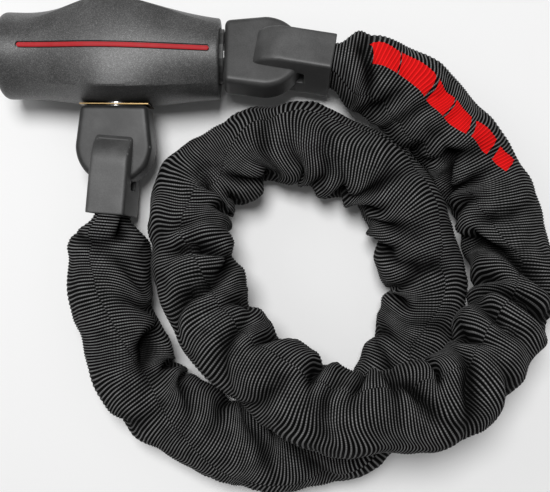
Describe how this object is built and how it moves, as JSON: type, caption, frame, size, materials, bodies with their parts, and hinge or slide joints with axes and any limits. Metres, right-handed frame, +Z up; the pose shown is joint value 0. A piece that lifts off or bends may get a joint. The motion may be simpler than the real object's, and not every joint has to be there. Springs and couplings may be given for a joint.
{
  "type": "bicycle chain lock",
  "caption": "Chain lock: moulded lock body with a pull-out plug and a fixed lug, joined by a square-link chain in a ribbed black sleeve that lies in an overlapping loop.",
  "frame": {"origin": "middle of the cover's flat underside, on the table, below the lock body's axis", "axes": "+X along the lock body from its key end to its plug end, +Z up from the table, and the fixed lug and the chain lie to -Y"},
  "size_m": [0.2561, 0.2257, 0.0657],
  "materials": {
    "cover_plastic": "charcoal moulded cover with a fine metallic grain",
    "red_inlay": "smooth red inlay",
    "black_plastic": "fine moulded black",
    "lug_rubber": "dark grey rubber with a soft sheen",
    "hardened_steel": "hardened and zinc plated",
    "plain_steel": "plain bright steel",
    "brass": "turned brass",
    "woven_sleeve": "black ribbed tubular webbing with a red print"
  },
  "bodies": {
    "lock_body": {"outer_cover": "cover_plastic", "red_stripe": "red_inlay", "steel_body": "hardened_steel", "end_cap": "black_plastic", "dust_cover_pin": "plain_steel", "cylinder_housing": "brass", "housing_pin": "plain_steel", "latch_spring": "plain_steel", "entry_collar": "black_plastic", "stud_pin": "plain_steel", "fixed_lug_core": "hardened_steel", "fixed_lug_cover": "lug_rubber", "bearing_plate": "brass", "sleeve": "woven_sleeve", "sleeve_plug_section": "woven_sleeve", "chain_link_01": "hardened_steel", "chain_link_02": "hardened_steel", "chain_link_03": "hardened_steel", "chain_link_04": "hardened_steel", "chain_link_05": "hardened_steel", "chain_link_06": "hardened_steel", "chain_link_07": "hardened_steel", "chain_link_08": "hardened_steel", "chain_link_09": "hardened_steel", "chain_link_10": "hardened_steel", "chain_link_11": "hardened_steel", "chain_link_12": "hardened_steel", "chain_link_13": "hardened_steel", "chain_link_14": "hardened_steel", "chain_link_15": "hardened_steel", "chain_link_16": "hardened_steel", "chain_link_17": "hardened_steel", "chain_link_18": "hardened_steel", "chain_link_19": "hardened_steel", "chain_link_20": "hardened_steel", "chain_link_21": "hardened_steel", "chain_link_22": "hardened_steel", "chain_link_23": "hardened_steel", "chain_link_24": "hardened_steel", "chain_link_25": "hardened_steel", "chain_link_26": "hardened_steel", "chain_link_27": "hardened_steel"},
    "dust_flap": {"dust_cover": "black_plastic"},
    "key_core": {"cylinder_plug": "brass", "cam_disc": "plain_steel"},
    "latch_bar": {"latch": "plain_steel"},
    "fixed_link": {"fixed_end_link": "hardened_steel", "fixed_boot": "lug_rubber", "fixed_sleeve_mouth": "woven_sleeve"},
    "plug_head": {"locking_bolt": "hardened_steel", "plug_lug_core": "hardened_steel", "plug_lug_cover": "lug_rubber"},
    "plug_link": {"plug_end_link": "hardened_steel", "plug_boot": "lug_rubber", "plug_sleeve_mouth": "woven_sleeve"}
  },
  "joints": [
    {"name": "dust_cover_swing", "type": "hinge", "parent": "lock_body", "child": "dust_flap", "pos_m": [-0.04995, 0, 0.0104], "axis": [1, 0, 0], "range_deg": [0, 80]},
    {"name": "key_turn", "type": "hinge", "parent": "lock_body", "child": "key_core", "pos_m": [-0.033, 0, 0.0226], "axis": [1, 0, 0], "range_deg": [-90, 0], "deforming": ["latch_spring"]},
    {"name": "latch_slide", "type": "slide", "parent": "lock_body", "child": "latch_bar", "axis": [0, 0, -1], "range_m": [0, 0.003]},
    {"name": "plug_pull", "type": "slide", "parent": "lock_body", "child": "plug_head", "axis": [1, 0, 0], "range_m": [0, 0.027], "deforming": ["sleeve_plug_section", "chain_link_22", "chain_link_23", "chain_link_24", "chain_link_25", "chain_link_26", "chain_link_27"]},
    {"name": "plug_link_swing", "type": "hinge", "parent": "plug_head", "child": "plug_link", "pos_m": [0.0786, 0, 0.0226], "axis": [0, 0.2588, 0.9659], "range_deg": [-1, 16], "deforming": ["plug_sleeve_mouth"]},
    {"name": "fixed_link_swing", "type": "hinge", "parent": "lock_body", "child": "fixed_link", "pos_m": [0.0032, -0.05, 0.0226], "axis": [-0.0523, 0, 0.9986], "range_deg": [-5, 10], "deforming": ["fixed_sleeve_mouth", "chain_link_01", "chain_link_02"]}
  ],
  "couplings": [
    {"joint": "latch_slide", "follows": "key_turn", "m_per_rad": -0.0019098}
  ]
}
